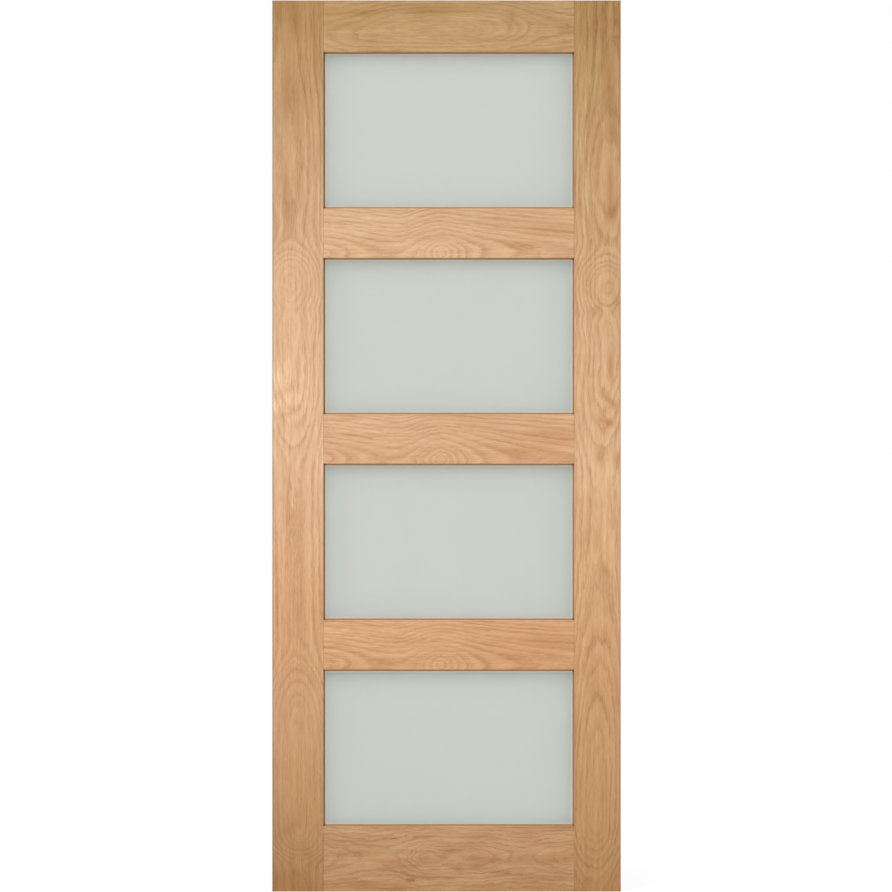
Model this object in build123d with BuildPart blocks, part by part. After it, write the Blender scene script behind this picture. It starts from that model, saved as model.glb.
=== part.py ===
"""Interior door leaf: oak-veneered stiles and rails around a column of frosted glass lights."""
import os

from build123d import *

# Leaf, in millimetres
LEAF_HEIGHT = 2110
LEAF_WIDTH = 825
LEAF_THICKNESS = 35

# Stiles and rails, face widths; a stile's width includes its edge lipping
HINGE_STILE_WIDTH = 121
LOCK_STILE_WIDTH = 110
LIPPING_WIDTH = 8
TOP_RAIL_WIDTH = 122
MID_RAIL_WIDTH = 117
BOTTOM_RAIL_WIDTH = 155
LIGHT_COUNT = 4

# Glazing, from the front lip back to the rear bead
LIP_DEPTH = 11
REBATE_WIDTH = 12
STRIP_THICKNESS = 1.5
STRIP_NOSE_WIDTH = 4
STRIP_NOSE_HEIGHT = 3
STRIP_NOSE_TIP = 0.6
GLASS_THICKNESS = 5
GLASS_EDGE_CLEARANCE = 2

# Eased edges
LIP_ARRIS = 0.8
BEAD_ARRIS = 1.5
EDGE_ARRIS = 1.5

# Sizes that follow from the ones above
RAIL_LENGTH = LEAF_WIDTH - HINGE_STILE_WIDTH - LOCK_STILE_WIDTH
LIGHT_WIDTH = RAIL_LENGTH
LIGHT_CENTRE_X = HINGE_STILE_WIDTH + LIGHT_WIDTH / 2
RAILS_TOTAL = TOP_RAIL_WIDTH + (LIGHT_COUNT - 1) * MID_RAIL_WIDTH + BOTTOM_RAIL_WIDTH
LIGHT_HEIGHT = (LEAF_HEIGHT - RAILS_TOTAL) / LIGHT_COUNT
LIGHT_PITCH = LIGHT_HEIGHT + MID_RAIL_WIDTH
REBATE_DEPTH = LEAF_THICKNESS - LIP_DEPTH
GLASS_FRONT = LIP_DEPTH + STRIP_THICKNESS
GLASS_BACK = GLASS_FRONT + GLASS_THICKNESS
BEAD_DEPTH = LEAF_THICKNESS - GLASS_BACK
GLASS_LAP = REBATE_WIDTH - GLASS_EDGE_CLEARANCE
LEAF_TOP = LEAF_HEIGHT / 2


def layer(depth):
    """The plane across the leaf at a depth behind its front face; extrusions run to the front."""
    return Plane.XZ.offset(LEAF_THICKNESS / 2 - depth)


def light_centre(row):
    """The middle of one light, counted from the top."""
    return (LIGHT_CENTRE_X, LEAF_TOP - TOP_RAIL_WIDTH - LIGHT_HEIGHT / 2 - row * LIGHT_PITCH)


def light_outline(row, depth, margin):
    """A light's rectangle on the plane at a depth, grown by a margin all round."""
    with BuildSketch(layer(depth)) as outline:
        with Locations(light_centre(row)):
            Rectangle(LIGHT_WIDTH + 2 * margin, LIGHT_HEIGHT + 2 * margin)
    return outline.sketch


def light_hole(row):
    """What one light takes out of the frame: eased sight opening and the rebate behind its lip."""
    with BuildPart() as hole:
        loft([light_outline(row, 0, LIP_ARRIS), light_outline(row, LIP_ARRIS, 0)])
        extrude(light_outline(row, LIP_DEPTH, 0), amount=LIP_DEPTH - LIP_ARRIS)
        extrude(light_outline(row, LEAF_THICKNESS, REBATE_WIDTH), amount=REBATE_DEPTH)
    return hole.part


def save(piece, name):
    """Label a finished piece and write it to its own file."""
    piece.label = name
    export_step(piece, f"parts/{name}.step")


def make_member(name, width, height, centre, rows):
    """A stile or rail: a full-thickness board with the lights beside it cut and rebated."""
    with BuildPart() as member:
        with BuildSketch(layer(LEAF_THICKNESS)):
            with Locations(centre):
                Rectangle(width, height)
        extrude(amount=LEAF_THICKNESS)
        for row in rows:
            add(light_hole(row), mode=Mode.SUBTRACT)
    save(member.part, name)


def make_stiles():
    """The two full-height stiles, each without the lipping on its outer edge."""
    rows = range(LIGHT_COUNT)
    hinge_width = HINGE_STILE_WIDTH - LIPPING_WIDTH
    hinge_middle = HINGE_STILE_WIDTH - hinge_width / 2
    make_member("hinge_stile", hinge_width, LEAF_HEIGHT, (hinge_middle, 0), rows)
    lock_width = LOCK_STILE_WIDTH - LIPPING_WIDTH
    lock_middle = LEAF_WIDTH - LOCK_STILE_WIDTH + lock_width / 2
    make_member("lock_stile", lock_width, LEAF_HEIGHT, (lock_middle, 0), rows)


def make_rails():
    """Top, middle and bottom rails, which butt against the stiles."""
    top_middle = LEAF_TOP - TOP_RAIL_WIDTH / 2
    make_member("top_rail", RAIL_LENGTH, TOP_RAIL_WIDTH, (LIGHT_CENTRE_X, top_middle), [0])
    for row in range(LIGHT_COUNT - 1):
        x, z = light_centre(row)
        centre = (x, z - LIGHT_PITCH / 2)
        make_member(f"mid_rail_{row + 1}", RAIL_LENGTH, MID_RAIL_WIDTH, centre, [row, row + 1])
    bottom_middle = BOTTOM_RAIL_WIDTH / 2 - LEAF_TOP
    last_row = LIGHT_COUNT - 1
    make_member("bottom_rail", RAIL_LENGTH, BOTTOM_RAIL_WIDTH, (LIGHT_CENTRE_X, bottom_middle), [last_row])


def make_lipping(name, x_centre, outer_group):
    """A solid strip on one long edge of the leaf, with its two outer corners eased."""
    with BuildPart() as lipping:
        with BuildSketch(layer(LEAF_THICKNESS)):
            with Locations((x_centre, 0)):
                Rectangle(LIPPING_WIDTH, LEAF_HEIGHT)
        extrude(amount=LEAF_THICKNESS)
        chamfer(lipping.edges().filter_by(Axis.Z).group_by(Axis.X)[outer_group], length=EDGE_ARRIS)
    save(lipping.part, name)


def make_pane(row):
    """One frosted pane, lapped behind the lip and clear of the rebate's walls."""
    with BuildPart() as pane:
        extrude(light_outline(row, GLASS_BACK, GLASS_LAP), amount=GLASS_THICKNESS)
    save(pane.part, f"glass_pane_{row + 1}")


def make_strip(row):
    """The glazing strip: a flat bed between lip and glass, with a sloping nose inside the lip."""
    slope_back = light_outline(row, GLASS_FRONT, -STRIP_NOSE_WIDTH)
    slope_front = light_outline(row, LIP_DEPTH - STRIP_NOSE_HEIGHT, -STRIP_NOSE_TIP)
    with BuildPart() as strip:
        extrude(light_outline(row, GLASS_FRONT, GLASS_LAP), amount=STRIP_THICKNESS)
        extrude(light_outline(row, LIP_DEPTH, 0), amount=STRIP_NOSE_HEIGHT)
        loft([slope_back, slope_front], mode=Mode.SUBTRACT)
    save(strip.part, f"glazing_strip_{row + 1}")


def make_bead(row, side, along, length, reach):
    """One rear bead with mitred ends, lying between the rebate's wall and the sight line."""
    x, z = light_centre(row)
    rear = Plane(origin=(x, LEAF_THICKNESS / 2, z), x_dir=along, z_dir=(0, -1, 0))
    inner = length / 2
    outer = inner + REBATE_WIDTH
    wall = reach + REBATE_WIDTH
    with BuildPart() as bead:
        with BuildSketch(rear):
            with BuildLine():
                Polyline((-inner, reach), (inner, reach), (outer, wall), (-outer, wall), close=True)
            make_face()
        extrude(amount=BEAD_DEPTH)
        rear_edges = bead.faces().sort_by(Axis.Y)[-1].edges().sort_by(SortBy.LENGTH)
        chamfer(rear_edges[-2], length=BEAD_ARRIS)
    save(bead.part, f"bead_{row + 1}_{side}")


def make_beads(row):
    """The four beads that hold one pane from the rear, each drawn along its own direction."""
    for side, along in (("top", (1, 0, 0)), ("bottom", (-1, 0, 0))):
        make_bead(row, side, along, LIGHT_WIDTH, LIGHT_HEIGHT / 2)
    for side, along in (("hinge_side", (0, 0, 1)), ("lock_side", (0, 0, -1))):
        make_bead(row, side, along, LIGHT_HEIGHT, LIGHT_WIDTH / 2)


os.makedirs("parts", exist_ok=True)
make_stiles()
make_rails()
make_lipping("hinge_edge_lipping", LIPPING_WIDTH / 2, 0)
make_lipping("lock_edge_lipping", LEAF_WIDTH - LIPPING_WIDTH / 2, -1)
for light in range(LIGHT_COUNT):
    make_pane(light)
    make_strip(light)
    make_beads(light)
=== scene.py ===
"""Looks of the glazed door leaf: oak veneer, solid oak beads, frosted glass, studio light and camera."""
import math
from typing import NamedTuple

import bpy
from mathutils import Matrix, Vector


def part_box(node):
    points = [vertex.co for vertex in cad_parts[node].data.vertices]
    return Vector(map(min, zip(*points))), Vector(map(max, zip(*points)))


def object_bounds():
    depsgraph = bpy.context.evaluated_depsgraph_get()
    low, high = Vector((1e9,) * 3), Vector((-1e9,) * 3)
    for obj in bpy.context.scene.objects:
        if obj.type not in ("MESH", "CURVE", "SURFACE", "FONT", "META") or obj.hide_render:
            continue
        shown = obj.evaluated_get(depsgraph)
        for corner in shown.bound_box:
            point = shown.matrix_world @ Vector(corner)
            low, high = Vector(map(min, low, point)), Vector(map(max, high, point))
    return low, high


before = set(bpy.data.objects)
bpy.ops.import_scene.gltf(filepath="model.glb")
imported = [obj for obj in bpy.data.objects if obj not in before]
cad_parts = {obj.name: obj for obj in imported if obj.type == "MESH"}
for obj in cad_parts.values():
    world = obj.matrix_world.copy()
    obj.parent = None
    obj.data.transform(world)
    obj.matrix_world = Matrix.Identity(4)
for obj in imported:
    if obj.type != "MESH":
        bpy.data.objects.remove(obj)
CAD_LOW, CAD_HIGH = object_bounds()
LEAF_CENTRE = (CAD_LOW + CAD_HIGH) / 2
LEAF_HEIGHT = CAD_HIGH.z - CAD_LOW.z
LIGHT_COUNT = sum(name.startswith("glass_pane_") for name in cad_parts)

# Lengths inside the materials are in millimetres, all others in metres
MM = 0.001
LEAF_FRONT = CAD_LOW.y / MM
LEAF_SPAN = (CAD_LOW.x / MM, CAD_HIGH.x / MM)
AXIS_X = 0
AXIS_Z = 2


class Grain(NamedTuple):
    """A noise: the size of its grains in three directions, its detail and its own seed."""

    across: float
    along: float
    through: float
    detail: float
    seed: float


class Eye(NamedTuple):
    """A swell of the heart line where the rings close, or part if change is above 0.

    It fades back and on from its place along the grain, and may swing the heart line aside.
    """

    along: float
    reach_back: float
    reach_on: float
    change: float
    flatness: float
    aside: float = 0.0


class Mark(NamedTuple):
    """A smudge in the wood, darker if change is below 0, and slanting by tilt; a few lighter ones are a
    painted highlight.
    """

    across: float
    along: float
    reach_across: float
    reach_along: float
    tilt: float
    change: float


class Figure(NamedTuple):
    """How one veneer was cut: its heart line, the cut's depth from it, and what lies along it.

    Rings are fainter within calm of the heart line, and as strong as bold elsewhere. Mottle and ripple
    are the height and length of their waves. Painted fall-off of light leaves the wood brightest at one
    height, darker and browner away from it.
    """

    grain: str
    heart: float
    lean: float
    depth: float
    eyes: tuple
    marks: tuple
    calm: float
    bold: float
    mottle: float
    ripple: float
    lit_height: float
    falloff_depth: float
    tint: tuple
    seed: float


class Lamp(NamedTuple):
    """A soft box: its offset from the leaf's middle, its width and height, and its power in watts."""

    name: str
    offset: tuple
    size: tuple
    power: float


# The photograph's frame: the leaf's height and middle, in its pixels
PHOTO_SIZE = 892
PHOTO_LEAF_HEIGHT = 891.1
PHOTO_LEAF_MIDDLE = (446.5, 446.0)
CAMERA_DISTANCE = 12.0
SENSOR_WIDTH = 36.0

# Oak's slow tone, linear: painted fall-off of light, brightest at mid height and darker, browner towards the
# leaf's ends; redder towards its foot
OAK_LIT_MIDDLE = (0.690, 0.428, 0.246)
OAK_SHADED_ENDS = (0.358, 0.200, 0.065)
FALLOFF_REACH = 1060.0
FALLOFF_CURVE = 1.6
LOWER_SHADE = (0.98, 0.88, 0.80)
LOWER_REACH = 400.0
PLAIN = (1.0, 1.0, 1.0)

# Growth rings: their spacing, and what bends them; each figure's ripple replaces the wander's length
RING_SPACING = 9.5
CUT_SLOPE = 0.6
SWAY = Grain(70.0, 420.0, 200.0, 1.0, 0.0)
SWAY_REACH = 7.0
WANDER = Grain(15.0, 60.0, 60.0, 3.0, 3.1)
JAG = Grain(3.0, 30.0, 30.0, 2.0, 7.7)
JAG_REACH = 2.0
UNEVEN = Grain(24.0, 900.0, 1.0, 1.0, 5.0)
UNEVEN_RINGS = 0.9

# How strongly the rings show: soft early wood, thin threads, patches and breaks
RING_SHADE = (0.72, 0.63, 0.53)
EARLY_CURVE = ((0.0, 0.3), (0.12, 1.0), (0.55, 0.2), (0.88, 0.0), (1.0, 0.3))
EARLY_SHARE = 0.6
THREAD = Grain(2.8, 150.0, 1.0, 3.0, 6.0)
THREAD_CURVE = ((0.0, 0.0), (0.5, 1.0))
THREAD_SHARE = 0.5
PATCH = Grain(30.0, 150.0, 90.0, 3.0, 11.0)
PATCH_SHARE = 0.8
BROKEN = Grain(3.0, 26.0, 20.0, 2.0, 13.0)
BROKEN_SHARE = 0.5
CALM_CURVE = ((0.2, 0.25), (1.0, 1.0))

# Clouds, streaks and fibres in the tone, and how ragged they make a mark
DARK_STREAK = (0.79, 0.65, 0.50)
LIGHT_STREAK = (1.21, 1.35, 1.50)
EVEN_TONE = 0.5
CLOUD = Grain(22.0, 130.0, 120.0, 3.0, 23.0)
CLOUD_SHARE = 0.07
CLOUD_RAGGED = 1.4
STREAK = Grain(5.0, 240.0, 40.0, 2.0, 29.0)
STREAK_SHARE = 0.30
STREAK_RAGGED = 1.4
FIBRE = Grain(2.0, 26.0, 12.0, 3.0, 31.0)
FIBRE_SHARE = 0.38
FIBRE_RAGGED = 1.8

# Pores, flecks and the lacquer over them; a bump's depth is in metres
PORE_SHADE = (0.62, 0.53, 0.44)
PORE = Grain(0.55, 14.0, 0.55, 2.0, 1.3)
PORE_CURVE = ((0.10, 0.0), (0.45, 1.0))
PORE_STRENGTH = 0.8
PORES_EVERYWHERE = 0.30
PORES_IN_EARLY_WOOD = 0.75
PORE_DEPTH = 0.00012
FLECK_SHADE = (1.07, 1.08, 1.10)
FLECK = Grain(1.3, 9.0, 4.0, 1.0, 17.0)
FLECK_CURVE = ((0.25, 0.0), (0.60, 1.0))
FLECK_STRENGTH = 0.5
OAK_ROUGHNESS = 0.46
PORE_ROUGHNESS = 0.18
OAK_SPECULAR = 0.35

# Darker along the rails' and beads' joints, and painted shade along the leaf's outer arrises, within a reach
# of them
JOINT_AND_ARRIS_SHADE = (0.55, 0.48, 0.40)
ARRIS_SHADE_REACH = 3.0
RAIL_SEAM_REACH = 1.4
BEAD_SEAM_REACH = 1.2

# Glass: linear colours, and widths from a pane's own edge
GLASS_COLOUR = (0.640, 0.662, 0.616)
# Painted shade on the glass beside the frame: its cool colour, its strength across and up, and its reach
GLASS_EDGE_SHADE_COLOUR = (0.02, 0.20, 0.20)
GLASS_EDGE_SHADE_ACROSS = 0.25
GLASS_EDGE_SHADE_UP = 0.16
GLASS_EDGE_SHADE_REACH = 31.0
GLASS_RIM_COLOUR = (0.80, 0.725, 0.605)
GLASS_RIM_WIDTH = 4.0
GLASS_RIM_CURVE = ((0.5, 0.85), (1.0, 0.0))
GLASS_ROUGHNESS = 0.62
GLASS_TRANSMISSION = 0.5
GLASS_IOR = 1.5
ETCH = Grain(0.8, 0.8, 0.8, 2.0, 4.0)
ETCH_SHARE = 0.01
ETCH_DEPTH = 0.00002

# Glazing strip: linear colours, and how far in from a pane's edge it reaches
STRIP_COVER = 14.0
STRIP_DARK = (0.26, 0.165, 0.083)
STRIP_PALE = (0.33, 0.21, 0.108)
STRIP_CORNER_SHADE = (0.45, 0.40, 0.34)
STRIP_MOTTLE = Grain(6.0, 6.0, 6.0, 3.0, 0.0)
STRIP_ROUGHNESS = 0.7

# White surroundings, and how strongly they light the object
WHITE = (1.0, 1.0, 1.0, 1.0)
WORLD_SEEN = 1.0
WORLD_LIGHT = 0.30
FLOOR_HALF = 30.0
FLOOR_GREY = (0.80, 0.80, 0.80, 1.0)
FLOOR_GLOW = 1.04
FLOOR_SHADOW = 0.20
FLOOR_SHADOW_REACH = 1.6
FLOOR_SHADOW_CURVE = ((0.0, 1.0), (1.0, 0.0))
LAMPS = (
    Lamp("key", (-3.6, -6.8, 6.6), (3.0, 3.0), 320.0),
    Lamp("top", (-0.8, -3.4, 9.0), (2.6, 2.6), 450.0),
    Lamp("front", (-0.3, -3.6, -0.9), (2.4, 1.2), 47.0),
    Lamp("rear", (3.6, 2.4, 2.0), (2.0, 2.0), 120.0),
)

# The stiles' veneers, placed across the leaf and up it
STILE_FIGURES = {
    "hinge": Figure(
        grain="Z",
        heart=50.0,
        lean=-0.0163,
        depth=76.0,
        eyes=(
            Eye(390.0, 44.0, 56.0, -14.0, 2.0),
            Eye(330.0, 290.0, 125.0, -43.0, 4.0),
            Eye(324.0, 20.0, 20.0, 9.0, 2.0),
            Eye(240.0, 90.0, 50.0, 0.0, 2.0, -8.0),
            Eye(-850.0, 110.0, 300.0, -64.0, 5.0),
            Eye(700.0, 220.0, 220.0, -12.0, 2.0),
        ),
        marks=(
            # The first three marks, which lighten, are a painted highlight: a soft glare across the stile a
            # little above mid height
            Mark(24.0, 104.0, 34.0, 16.0, 0.5, 0.18),
            Mark(26.0, 175.0, 34.0, 34.0, 0.5, 0.18),
            Mark(60.0, 150.0, 40.0, 90.0, 0.0, 0.12),
            Mark(32.0, 130.0, 22.0, 8.0, 0.5, -0.18),
            Mark(32.0, 74.0, 28.0, 8.0, 0.35, -0.18),
            Mark(34.0, 605.0, 8.0, 80.0, 0.0, -0.30),
            Mark(36.0, 836.0, 8.0, 60.0, 0.0, -0.24),
            Mark(52.0, 1000.0, 12.0, 34.0, 0.0, -0.28),
            Mark(60.0, -300.0, 90.0, 220.0, 0.0, -0.04),
            Mark(40.0, -905.0, 36.0, 14.0, 0.6, -0.18),
            Mark(74.0, -960.0, 24.0, 14.0, -0.4, -0.16),
            Mark(20.0, -1030.0, 26.0, 22.0, 0.0, -0.16),
        ),
        calm=70.0,
        bold=0.80,
        mottle=2.8,
        ripple=80.0,
        lit_height=20.0,
        falloff_depth=0.95,
        tint=(1.01, 1.01, 1.01),
        seed=0.0,
    ),
    "lock": Figure(
        grain="Z",
        heart=784.0,
        lean=0.0215,
        depth=76.0,
        eyes=(
            Eye(383.0, 44.0, 50.0, -14.0, 2.0),
            Eye(320.0, 290.0, 120.0, -43.0, 4.0),
            Eye(318.0, 20.0, 20.0, 9.0, 2.0),
            Eye(235.0, 90.0, 50.0, 0.0, 2.0, 12.0),
            Eye(-880.0, 110.0, 380.0, -60.0, 2.3),
            Eye(640.0, 160.0, 160.0, -22.0, 2.0),
        ),
        marks=(
            Mark(799.0, 107.0, 20.0, 10.0, -0.75, -0.55),
            Mark(790.0, 58.0, 20.0, 10.0, -0.3, -0.58),
            Mark(802.0, 185.0, 8.0, 36.0, 0.0, -0.50),
            Mark(785.0, -560.0, 80.0, 150.0, 0.0, -0.07),
            Mark(818.0, 340.0, 12.0, 16.0, 0.0, -0.40),
            Mark(766.0, 322.0, 14.0, 12.0, 0.4, -0.32),
            Mark(776.0, -24.0, 11.0, 18.0, 0.0, -0.40),
            Mark(815.0, -30.0, 9.0, 20.0, 0.0, -0.44),
            Mark(768.0, -218.0, 10.0, 26.0, 0.0, -0.26),
            Mark(790.0, -296.0, 16.0, 12.0, -1.0, -0.28),
            Mark(768.0, 1000.0, 12.0, 45.0, 0.0, -0.18),
            Mark(798.0, 870.0, 10.0, 50.0, 0.0, -0.34),
            Mark(806.0, 765.0, 12.0, 40.0, 0.0, -0.32),
            Mark(801.0, 630.0, 9.0, 45.0, 0.0, -0.32),
            Mark(804.0, 560.0, 14.0, 34.0, -0.3, -0.40),
            Mark(730.0, 760.0, 16.0, 260.0, 0.0, 0.14),
        ),
        calm=42.0,
        bold=0.84,
        mottle=4.2,
        ripple=60.0,
        lit_height=-35.0,
        falloff_depth=0.84,
        tint=(0.945, 0.935, 0.875),
        seed=41.0,
    ),
}

# The rails' veneers, placed across the grain from a rail's own middle, and along the leaf's width
TOP_RAIL_FIGURE = Figure(
    grain="X",
    heart=-4.0,
    lean=0.0,
    depth=62.0,
    eyes=(
        Eye(440.0, 270.0, 150.0, -54.0, 2.6),
        Eye(170.0, 90.0, 90.0, 0.0, 2.0, -16.0),
    ),
    marks=(
        Mark(38.0, 373.0, 12.0, 75.0, 0.0, -0.36),
        Mark(32.0, 218.0, 9.0, 60.0, 2.0, -0.34),
        Mark(20.0, 566.0, 24.0, 14.0, 0.0, -0.24),
        Mark(2.0, 181.0, 9.0, 50.0, 0.0, -0.20),
    ),
    calm=45.0,
    bold=0.75,
    mottle=5.0,
    ripple=40.0,
    lit_height=40.0,
    falloff_depth=0.80,
    tint=(1.0, 1.03, 1.03),
    seed=83.0,
)
MID_RAIL_FIGURE = Figure(
    grain="X",
    heart=-48.0,
    lean=0.0,
    depth=56.0,
    eyes=(
        Eye(399.0, 62.0, 74.0, -54.0, 1.0),
        Eye(302.0, 60.0, 40.0, 0.0, 2.0, -11.0),
        Eye(90.0, 120.0, 120.0, -32.0, 2.0),
        Eye(820.0, 300.0, 300.0, 16.0, 2.0),
    ),
    marks=(
        Mark(0.0, 650.0, 90.0, 160.0, 0.0, -0.09),
        Mark(10.0, 655.0, 12.0, 80.0, 0.0, -0.22),
        Mark(-28.0, 590.0, 9.0, 55.0, -0.1, -0.26),
        Mark(30.0, 200.0, 30.0, 90.0, 0.0, 0.08),
    ),
    calm=7.0,
    bold=0.85,
    mottle=2.9,
    ripple=60.0,
    lit_height=40.0,
    falloff_depth=0.9,
    tint=PLAIN,
    seed=60.0,
)
MID_RAIL_TINTS = ((1.05, 1.07, 1.08), (0.93, 0.88, 0.82), (1.05, 1.04, 1.03))
BOTTOM_RAIL_FIGURE = Figure(
    grain="X",
    heart=3.0,
    lean=0.0,
    depth=48.0,
    eyes=(
        Eye(366.0, 50.0, 110.0, -42.0, 1.4),
        Eye(500.0, 60.0, 70.0, -20.0, 2.0),
        Eye(40.0, 130.0, 130.0, -38.0, 2.0),
        Eye(730.0, 120.0, 120.0, -36.0, 2.0),
    ),
    marks=(
        Mark(-50.0, 327.0, 4.0, 9.0, 0.0, -1.2),
        Mark(1.0, 362.0, 7.0, 12.0, 0.0, -0.34),
        Mark(18.0, 427.0, 7.0, 18.0, 1.0, -0.42),
        Mark(2.0, 478.0, 7.0, 20.0, -1.0, -0.20),
        Mark(-3.0, 524.0, 6.0, 22.0, 0.0, -0.36),
        Mark(-18.0, 487.0, 7.0, 18.0, 1.0, -0.40),
        Mark(-24.0, 440.0, 7.0, 14.0, -1.0, -0.40),
        Mark(0.0, 465.0, 26.0, 70.0, 0.0, -0.06),
        Mark(-4.0, 660.0, 9.0, 50.0, 0.0, -0.30),
    ),
    calm=22.0,
    bold=0.90,
    mottle=7.5,
    ripple=32.0,
    lit_height=40.0,
    falloff_depth=0.68,
    tint=(1.01, 1.06, 1.10),
    seed=97.0,
)

# The beads' straight-grained solid oak, placed across the grain from a bead's own middle
BEAD_FIGURE = Figure(
    grain="X",
    heart=-90.0,
    lean=0.0,
    depth=30.0,
    eyes=(),
    marks=(),
    calm=20.0,
    bold=0.6,
    mottle=2.0,
    ripple=80.0,
    lit_height=40.0,
    falloff_depth=0.8,
    tint=PLAIN,
    seed=0.0,
)
BEAD_ROW_SEED = 7.0


class Graph:
    """Adds shader nodes to one tree and hands back their output sockets."""

    def __init__(self, tree):
        self.tree = tree
        tree.nodes.clear()

    def node(self, kind, **settings):
        """A new node of a kind, with its settings made."""
        made = self.tree.nodes.new(kind)
        for name, value in settings.items():
            setattr(made, name, value)
        return made

    def feed(self, socket, value):
        """Link a socket to another, or give it a plain value."""
        if isinstance(value, bpy.types.NodeSocket):
            self.tree.links.new(value, socket)
        else:
            socket.default_value = value

    def math(self, operation, *values):
        """The result of one operation on one to three values."""
        made = self.node("ShaderNodeMath", operation=operation)
        for socket, value in zip(made.inputs, values):
            self.feed(socket, value)
        return made.outputs[0]

    def add(self, *values):
        """The sum of the values."""
        total = values[0]
        for value in values[1:]:
            total = self.math("ADD", total, value)
        return total

    def times(self, *values):
        """The product of the values."""
        total = values[0]
        for value in values[1:]:
            total = self.math("MULTIPLY", total, value)
        return total

    def minus(self, first, second):
        """The first value less the second."""
        return self.math("SUBTRACT", first, second)

    def scaled(self, value, factor, start):
        """A start plus a value times a factor."""
        return self.math("MULTIPLY_ADD", value, factor, start)

    def fade(self, distance):
        """1 at no distance, falling smoothly to 0."""
        return self.math("POWER", math.e, self.times(distance, -1.0))

    def noise(self, place, grain, seed=0.0):
        """Noise from -1 to 1 at a place, with grains of the given size."""
        vector = self.node("ShaderNodeCombineXYZ")
        sizes = (grain.across, grain.along, grain.through)
        for socket, value, size in zip(vector.inputs, place, sizes):
            self.feed(socket, self.scaled(value, 1.0 / size, grain.seed + seed))
        made = self.node("ShaderNodeTexNoise", noise_dimensions="3D")
        self.feed(made.inputs["Vector"], vector.outputs[0])
        self.feed(made.inputs["Scale"], 1.0)
        self.feed(made.inputs["Detail"], grain.detail)
        return self.scaled(made.outputs[0], 2.0, -1.0)

    def ramp(self, factor, stops):
        """A curve through grey stops, each a place and a value."""
        made = self.node("ShaderNodeValToRGB")
        band = made.color_ramp
        while len(band.elements) < len(stops):
            band.elements.new(1.0)
        for element, (place, value) in zip(band.elements, stops):
            element.position = place
            element.color = (value, value, value, 1.0)
        self.feed(made.inputs[0], factor)
        return made.outputs[0]

    def blend(self, factor, first, second, mode="MIX"):
        """Two colours mixed or multiplied by a factor."""
        made = self.node("ShaderNodeMix", data_type="RGBA", blend_type=mode)
        self.feed(made.inputs[0], factor)
        for socket, value in zip(made.inputs[6:8], (first, second)):
            self.feed(socket, (*value, 1.0) if isinstance(value, tuple) else value)
        return made.outputs[2]

    def shaded(self, colour, share, shade):
        """A colour multiplied by a shade where the share is 1."""
        return self.blend(share, colour, shade, "MULTIPLY")

    def bump(self, height, distance):
        """A surface direction tilted by the slopes of a height."""
        made = self.node("ShaderNodeBump")
        self.feed(made.inputs["Strength"], 1.0)
        self.feed(made.inputs["Distance"], distance)
        self.feed(made.inputs["Height"], height)
        return made.outputs[0]

    def surface(self, **inputs):
        """A surface shader with these inputs, as the material's result."""
        shader = self.node("ShaderNodeBsdfPrincipled")
        for name, value in inputs.items():
            self.feed(shader.inputs[name.replace("_", " ")], value)
        self.end("ShaderNodeOutputMaterial", shader)

    def end(self, kind, shader):
        """Join a shader to the tree's output node."""
        self.feed(self.node(kind).inputs[0], shader.outputs[0])


def new_material(name):
    """An empty material and the graph of its nodes."""
    material = bpy.data.materials.new(name)
    material.use_nodes = True
    return material, Graph(material.node_tree)


def paint(node_names, material):
    """Give a material to every slot of the named nodes."""
    for name in node_names:
        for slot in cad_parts[name].material_slots:
            slot.material = material


def span_of(node, axis):
    """A node's lowest and highest place along one axis, in millimetres."""
    low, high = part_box(node)
    return low[axis] / MM, high[axis] / MM


def middle_of(node, axis):
    """A node's middle along one axis, in millimetres."""
    return sum(span_of(node, axis)) / 2


def place_in_mm(graph):
    """The point's X, Y and Z in the leaf's own frame, in millimetres."""
    coordinate = graph.node("ShaderNodeTexCoord")
    split = graph.node("ShaderNodeSeparateXYZ")
    graph.feed(split.inputs[0], coordinate.outputs["Object"])
    return [graph.times(value, 1.0 / MM) for value in split.outputs]


def way_in(graph, place, low, high):
    """How far a place lies inside a stretch, from its nearer end."""
    return graph.math("MINIMUM", graph.minus(place, low), graph.minus(high, place))


def ways_in(graph, place, node):
    """How far a place lies inside a node, across the leaf and up it."""
    return [way_in(graph, place[axis], *span_of(node, axis)) for axis in (AXIS_X, AXIS_Z)]


def edge_share(graph, place, low, high, reach):
    """1 at either end of a stretch, falling to 0 within a reach."""
    inward = graph.times(way_in(graph, place, low, high), 1.0 / reach)
    return graph.minus(1.0, graph.math("MINIMUM", inward, 1.0))


def eye_swell(graph, eye, along):
    """1 at an eye's place along the grain, fading away from it."""
    rise = graph.minus(along, eye.along)
    on = graph.times(rise, 1.0 / eye.reach_on)
    back = graph.times(rise, -1.0 / eye.reach_back)
    return graph.fade(graph.math("POWER", graph.math("MAXIMUM", on, back), eye.flatness))


def ring_field(graph, figure, place):
    """Distance from the wavy heart line, whose steps are the growth rings."""
    across, along, through = place
    heart = graph.scaled(along, figure.lean, figure.heart)
    depth = graph.scaled(graph.minus(through, LEAF_FRONT), CUT_SLOPE, figure.depth)
    for eye in figure.eyes:
        swell = eye_swell(graph, eye, along)
        depth = graph.scaled(swell, eye.change, depth)
        heart = graph.scaled(swell, eye.aside, heart)
    sway = graph.noise(place, SWAY, figure.seed)
    wander = graph.noise(place, WANDER._replace(along=figure.ripple), figure.seed)
    jag = graph.noise(place, JAG, figure.seed)
    offset = graph.scaled(sway, SWAY_REACH, graph.minus(across, heart))
    reach = graph.math("SQRT", graph.add(graph.times(offset, offset), graph.times(depth, depth)))
    return graph.add(reach, graph.times(wander, figure.mottle), graph.times(jag, JAG_REACH))


def early_wood(graph, figure, field, along):
    """Soft early wood at the start of each ring, in rings of uneven width."""
    uneven = graph.noise((field, along, 0.0), UNEVEN, figure.seed)
    count = graph.scaled(uneven, UNEVEN_RINGS, graph.times(field, 1.0 / RING_SPACING))
    return graph.ramp(graph.math("FRACT", count), EARLY_CURVE)


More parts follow.
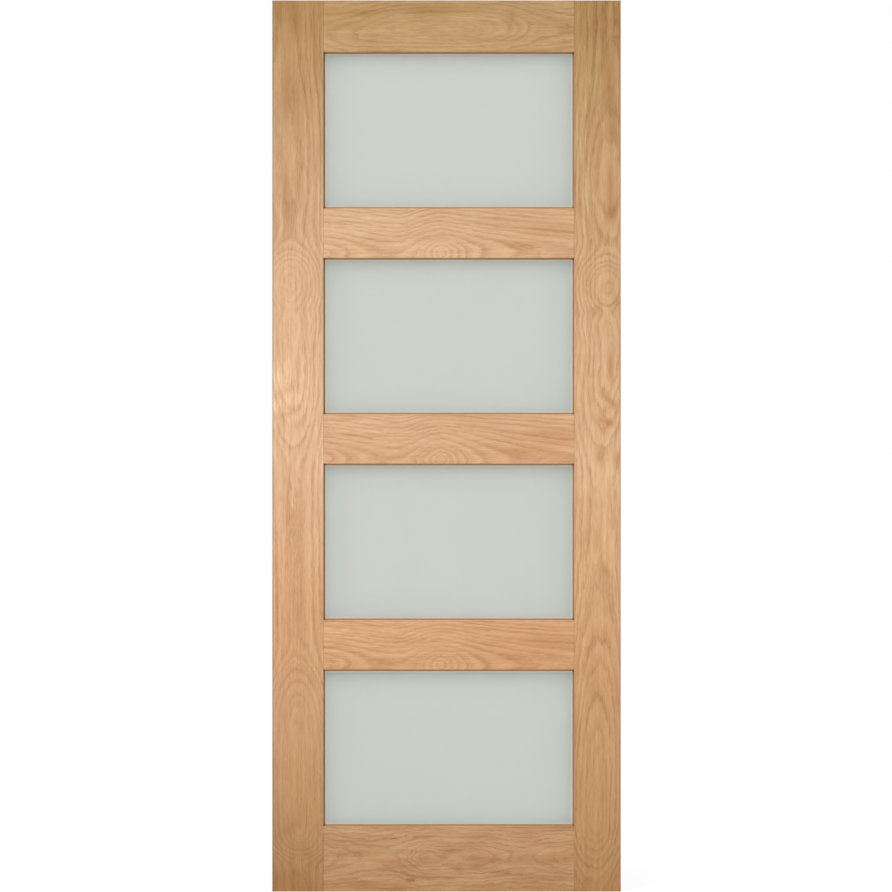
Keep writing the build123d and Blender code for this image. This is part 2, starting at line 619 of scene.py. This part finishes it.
def ring_share(graph, figure, place, field, early):
    """How strongly the rings show: with threads along them, patchy, broken, and faint near the heart."""
    _, along, _ = place
    thread = graph.ramp(graph.noise((field, along, 0.0), THREAD, figure.seed), THREAD_CURVE)
    lines = graph.add(graph.times(early, EARLY_SHARE), graph.times(thread, THREAD_SHARE))
    patch = graph.noise(place, PATCH, figure.seed)
    broken = graph.noise(place, BROKEN, figure.seed)
    strength = graph.add(figure.bold, graph.times(patch, PATCH_SHARE), graph.times(broken, BROKEN_SHARE))
    away = graph.ramp(graph.times(field, 1.0 / figure.calm), CALM_CURVE)
    return graph.times(lines, strength, away)


def pore_share(graph, figure, place, early):
    """Fine pores along the grain, most of them in the early wood."""
    pores = graph.ramp(graph.noise(place, PORE, figure.seed), PORE_CURVE)
    return graph.times(pores, graph.scaled(early, PORES_IN_EARLY_WOOD, PORES_EVERYWHERE))


def painted_falloff_and_foot_tone(graph, figure, height):
    """Painted fall-off of light: brightest wood about mid height, darker and browner towards the leaf's
    ends; redder towards its foot.
    """
    rise = graph.minus(height, figure.lit_height)
    away = graph.math("ABSOLUTE", graph.times(rise, 1.0 / FALLOFF_REACH))
    pale = graph.scaled(graph.math("POWER", away, FALLOFF_CURVE), -figure.falloff_depth, 1.0)
    # Painted shade: the wood blends from its lit colour to a darker brown away from the brightest height
    colour = graph.blend(pale, OAK_SHADED_ENDS, OAK_LIT_MIDDLE)
    return graph.shaded(colour, graph.times(rise, -1.0 / LOWER_REACH), LOWER_SHADE)


def mark_share(graph, mark, place):
    """1 in the middle of a mark, fading out around it."""
    across, along, _ = place
    beside = graph.minus(across, mark.across)
    beyond = graph.scaled(beside, -mark.tilt, graph.minus(along, mark.along))
    beside_squared = graph.times(beside, beside, 1.0 / mark.reach_across ** 2)
    beyond_squared = graph.times(beyond, beyond, 1.0 / mark.reach_along ** 2)
    return graph.fade(graph.add(beside_squared, beyond_squared))


def streaks(graph, figure, place):
    """A shade for the wood's clouds, streaks and fibres, and for its ragged marks, a few of them a painted
    highlight.
    """
    cloud = graph.noise(place, CLOUD, figure.seed)
    streak = graph.noise(place, STREAK, figure.seed)
    fibre = graph.noise(place, FIBRE, figure.seed)
    tone = graph.scaled(cloud, CLOUD_SHARE * figure.mottle, EVEN_TONE)
    tone = graph.add(tone, graph.times(streak, STREAK_SHARE), graph.times(fibre, FIBRE_SHARE))
    ragged = graph.scaled(cloud, CLOUD_RAGGED, 1.0)
    ragged = graph.add(ragged, graph.times(streak, STREAK_RAGGED), graph.times(fibre, FIBRE_RAGGED))
    for mark in figure.marks:
        share = graph.times(mark_share(graph, mark, place), ragged)
        tone = graph.scaled(share, mark.change, tone)
    return graph.blend(tone, DARK_STREAK, LIGHT_STREAK)


def oak_colour(graph, figure, height, place):
    """Oak's colour with its tone, streaks, rings, flecks and pores, and the share of pore at each point."""
    field = ring_field(graph, figure, place)
    _, along, _ = place
    early = early_wood(graph, figure, field, along)
    rings = ring_share(graph, figure, place, field, early)
    pores = pore_share(graph, figure, place, early)
    fleck = graph.ramp(graph.noise(place, FLECK, figure.seed), FLECK_CURVE)
    colour = graph.shaded(painted_falloff_and_foot_tone(graph, figure, height), 1.0, streaks(graph, figure, place))
    colour = graph.shaded(colour, 1.0, figure.tint)
    colour = graph.shaded(colour, rings, RING_SHADE)
    colour = graph.shaded(colour, graph.times(fleck, FLECK_STRENGTH), FLECK_SHADE)
    return graph.shaded(colour, graph.times(pores, PORE_STRENGTH), PORE_SHADE), pores


def oak(name, figure, dark_edge_axis, dark_edge_ends, dark_edge_reach):
    """Lacquered oak cut as the figure says, darker at both ends of one stretch: dark joint lines on rails
    and beads, painted shade on the leaf's outer arrises.
    """
    material, graph = new_material(name)
    spot = place_in_mm(graph)
    x, y, z = spot
    place = (x, z, y) if figure.grain == "Z" else (z, x, y)
    colour, pores = oak_colour(graph, figure, z, place)
    # A darker band at each end of the stretch: painted shade on the leaf's outer arrises, dark joint lines
    # on rails and beads
    dark_edge = edge_share(graph, spot[dark_edge_axis], *dark_edge_ends, dark_edge_reach)
    graph.surface(
        Base_Color=graph.shaded(colour, dark_edge, JOINT_AND_ARRIS_SHADE),
        Roughness=graph.scaled(pores, PORE_ROUGHNESS, OAK_ROUGHNESS),
        Normal=graph.bump(graph.times(pores, -1.0), PORE_DEPTH),
        Specular_IOR_Level=OAK_SPECULAR,
    )
    return material


def frosted_glass(node):
    """Acid-etched glass: pale grey-green, with painted shade beside the frame and a pale cream rim just
    inside the strip.
    """
    material, graph = new_material(f"etched_{node}")
    place = place_in_mm(graph)
    etch = graph.noise(place, ETCH)
    etch_and_edge_shade = graph.times(etch, ETCH_SHARE)
    inward = ways_in(graph, place, node)
    # Painted shade: the glass darkens towards the frame around it
    for distance, share in zip(inward, (GLASS_EDGE_SHADE_ACROSS, GLASS_EDGE_SHADE_UP)):
        near = graph.fade(graph.times(distance, 1.0 / GLASS_EDGE_SHADE_REACH))
        etch_and_edge_shade = graph.scaled(near, share, etch_and_edge_shade)
    past_strip = graph.minus(graph.math("MINIMUM", *inward), STRIP_COVER)
    rim = graph.ramp(graph.times(past_strip, 1.0 / GLASS_RIM_WIDTH), GLASS_RIM_CURVE)
    colour = graph.blend(etch_and_edge_shade, GLASS_COLOUR, GLASS_EDGE_SHADE_COLOUR)
    graph.surface(
        Base_Color=graph.blend(rim, colour, GLASS_RIM_COLOUR),
        Roughness=GLASS_ROUGHNESS,
        Normal=graph.bump(etch, ETCH_DEPTH),
        Transmission_Weight=GLASS_TRANSMISSION,
        IOR=GLASS_IOR,
    )
    return material


def glazing_strip(node):
    """Brown bedding strip, matt and faintly mottled, with a dark gap at each corner's mitre."""
    material, graph = new_material(f"brown_{node}")
    place = place_in_mm(graph)
    mottle = graph.noise(place, STRIP_MOTTLE)
    colour = graph.blend(graph.scaled(mottle, 0.5, 0.5), STRIP_DARK, STRIP_PALE)
    corner = graph.times(*(graph.math("LESS_THAN", way, STRIP_COVER) for way in ways_in(graph, place, node)))
    graph.surface(
        Base_Color=graph.shaded(colour, corner, STRIP_CORNER_SHADE),
        Roughness=STRIP_ROUGHNESS,
    )
    return material


def moved_across(figure, middle):
    """A figure drawn about 0, moved across the grain to a piece's own middle."""
    marks = tuple(mark._replace(across=mark.across + middle) for mark in figure.marks)
    return figure._replace(heart=figure.heart + middle, marks=marks)


def rail_figures():
    """Each rail's figure; the middle rails differ in tint only."""
    figures = {"top_rail": TOP_RAIL_FIGURE, "bottom_rail": BOTTOM_RAIL_FIGURE}
    for number, tint in enumerate(MID_RAIL_TINTS, 1):
        figures[f"mid_rail_{number}"] = MID_RAIL_FIGURE._replace(tint=tint)
    return figures


def dress_frame():
    """Give each stile and rail its own cut of oak; a lipping continues its stile's."""
    for side, figure in STILE_FIGURES.items():
        # The stiles and their lippings get painted shade along the leaf's outer arrises
        material = oak(f"oak_{side}_stile", figure, AXIS_X, LEAF_SPAN, ARRIS_SHADE_REACH)
        paint([f"{side}_stile", f"{side}_edge_lipping"], material)
    for node, figure in rail_figures().items():
        placed = moved_across(figure, middle_of(node, AXIS_Z))
        paint([node], oak(f"oak_{node}", placed, AXIS_X, span_of(node, AXIS_X), RAIL_SEAM_REACH))


def dress_beads(row):
    """Straight-grained oak on one light's beads, each along its own length."""
    for side in ("top", "bottom", "hinge_side", "lock_side"):
        node = f"bead_{row}_{side}"
        grain, axis = ("X", AXIS_Z) if side in ("top", "bottom") else ("Z", AXIS_X)
        figure = BEAD_FIGURE._replace(grain=grain, seed=BEAD_ROW_SEED * row + len(side))
        placed = moved_across(figure, middle_of(node, axis))
        paint([node], oak(f"oak_{node}", placed, axis, span_of(node, axis), BEAD_SEAM_REACH))


def dress_light(row):
    """Frosted glass and a brown strip for one light."""
    pane = f"glass_pane_{row}"
    strip = f"glazing_strip_{row}"
    paint([pane], frosted_glass(pane))
    paint([strip], glazing_strip(strip))


def seen_share(graph):
    """1 for what the camera, mirrors and glass see, and 0 for what lights the object."""
    path = graph.node("ShaderNodeLightPath")
    mirrored = graph.math("MAXIMUM", path.outputs["Is Camera Ray"], path.outputs["Is Glossy Ray"])
    return graph.math("MAXIMUM", mirrored, path.outputs["Is Transmission Ray"])


def make_world():
    """White all round to the eye, and a soft grey light on the object."""
    world = bpy.data.worlds.new("studio")
    world.use_nodes = True
    bpy.context.scene.world = world
    graph = Graph(world.node_tree)
    background = graph.node("ShaderNodeBackground")
    graph.feed(background.inputs["Color"], WHITE)
    strength = graph.scaled(seen_share(graph), WORLD_SEEN - WORLD_LIGHT, WORLD_LIGHT)
    graph.feed(background.inputs["Strength"], strength)
    graph.end("ShaderNodeOutputWorld", background)


def floor_material():
    """White to the eye, with a soft shadow near the leaf, and pale grey to the light."""
    material, graph = new_material("floor")
    pale = graph.node("ShaderNodeBsdfDiffuse")
    graph.feed(pale.inputs["Color"], FLOOR_GREY)
    glow = graph.node("ShaderNodeEmission")
    graph.feed(glow.inputs["Strength"], FLOOR_GLOW)
    coordinate = graph.node("ShaderNodeTexCoord")
    away = graph.node("ShaderNodeVectorMath", operation="DISTANCE")
    graph.feed(away.inputs[0], coordinate.outputs["Object"])
    graph.feed(away.inputs[1], (LEAF_CENTRE.x, LEAF_CENTRE.y, CAD_LOW.z))
    near = graph.ramp(graph.times(away.outputs["Value"], 1.0 / FLOOR_SHADOW_REACH), FLOOR_SHADOW_CURVE)
    mix = graph.node("ShaderNodeMixShader")
    graph.feed(mix.inputs[0], graph.times(seen_share(graph), graph.scaled(near, -FLOOR_SHADOW, 1.0)))
    graph.feed(mix.inputs[1], pale.outputs[0])
    graph.feed(mix.inputs[2], glow.outputs[0])
    graph.end("ShaderNodeOutputMaterial", mix)
    return material


def make_floor():
    """A white floor at the leaf's foot, which keeps a soft shadow."""
    mesh = bpy.data.meshes.new("floor")
    corners = ((-1, -1), (1, -1), (1, 1), (-1, 1))
    points = [(x * FLOOR_HALF, y * FLOOR_HALF, CAD_LOW.z) for x, y in corners]
    mesh.from_pydata(points, [], [(0, 1, 2, 3)])
    mesh.materials.append(floor_material())
    floor = bpy.data.objects.new("floor", mesh)
    bpy.context.collection.objects.link(floor)


def make_lamp(lamp):
    """One soft box, aimed at the leaf's middle."""
    data = bpy.data.lights.new(lamp.name, "AREA")
    data.shape = "RECTANGLE"
    data.size, data.size_y = lamp.size
    data.energy = lamp.power
    offset = Vector(lamp.offset)
    holder = bpy.data.objects.new(lamp.name, data)
    holder.location = LEAF_CENTRE + offset
    holder.rotation_euler = (-offset).to_track_quat("-Z", "Y").to_euler()
    bpy.context.collection.objects.link(holder)


def make_camera():
    """A long lens straight in front, framing the leaf as the photograph does."""
    scale = LEAF_HEIGHT / PHOTO_LEAF_HEIGHT
    data = bpy.data.cameras.new("camera")
    data.sensor_width = SENSOR_WIDTH
    data.lens = SENSOR_WIDTH * CAMERA_DISTANCE / (PHOTO_SIZE * scale)
    camera = bpy.data.objects.new("camera", data)
    right = (PHOTO_LEAF_MIDDLE[0] - PHOTO_SIZE / 2) * scale
    down = (PHOTO_LEAF_MIDDLE[1] - PHOTO_SIZE / 2) * scale
    camera.location = (LEAF_CENTRE.x - right, CAD_LOW.y - CAMERA_DISTANCE, LEAF_CENTRE.z + down)
    camera.rotation_euler = (math.pi / 2, 0.0, 0.0)
    bpy.context.collection.objects.link(camera)
    bpy.context.scene.camera = camera


dress_frame()
for light in range(1, LIGHT_COUNT + 1):
    dress_beads(light)
    dress_light(light)
make_world()
make_floor()
for lamp in LAMPS:
    make_lamp(lamp)
make_camera()
bpy.context.scene.view_settings.view_transform = "Standard"
